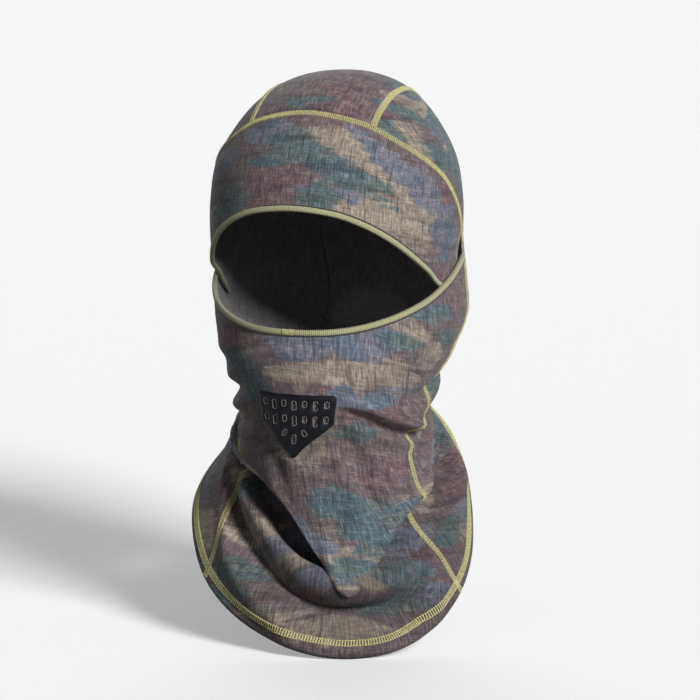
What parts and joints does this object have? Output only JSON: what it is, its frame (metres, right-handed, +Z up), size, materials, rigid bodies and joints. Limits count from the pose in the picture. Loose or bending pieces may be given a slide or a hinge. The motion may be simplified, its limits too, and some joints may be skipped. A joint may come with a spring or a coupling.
{
  "type": "hinged balaclava",
  "caption": "Stretch balaclava in its worn shape: seamed hood, brow panel, eye opening, pull-down mask with a vent patch, and a draped bib.",
  "frame": {"origin": "middle of the head cavity, on the plane through the middle of the face, 110 mm below the crown", "axes": "+Z up, -Y the way the face looks, +X towards the wearer's left"},
  "size_m": [0.1834, 0.2185, 0.3526],
  "materials": {
    "printed_cloth": "matte stretch knit with a blotched print",
    "edge_binding": "soft satin elastic tape",
    "seam_thread": "textured polyester thread",
    "vent_rubber": "matte moulded"
  },
  "bodies": {
    "hood": {"brow_panel": "printed_cloth", "crown_panel": "printed_cloth", "hood_side_left": "printed_cloth", "hood_side_right": "printed_cloth", "front_panel": "printed_cloth", "brow_binding": "edge_binding", "brow_seam": "seam_thread", "crown_seam_left": "seam_thread", "crown_seam_right": "seam_thread", "side_seam_left": "seam_thread", "side_seam_right": "seam_thread", "hem_coverstitch": "seam_thread"},
    "mask": {"mask_binding": "edge_binding", "vent_patch": "vent_rubber"}
  },
  "joints": [
    {"name": "mask_hinge", "type": "hinge", "parent": "hood", "child": "mask", "pos_m": [0, 0.0257, -0.0046], "axis": [1, 0, 0], "range_deg": [0, 28], "deforming": ["front_panel", "side_seam_left", "side_seam_right"]}
  ]
}
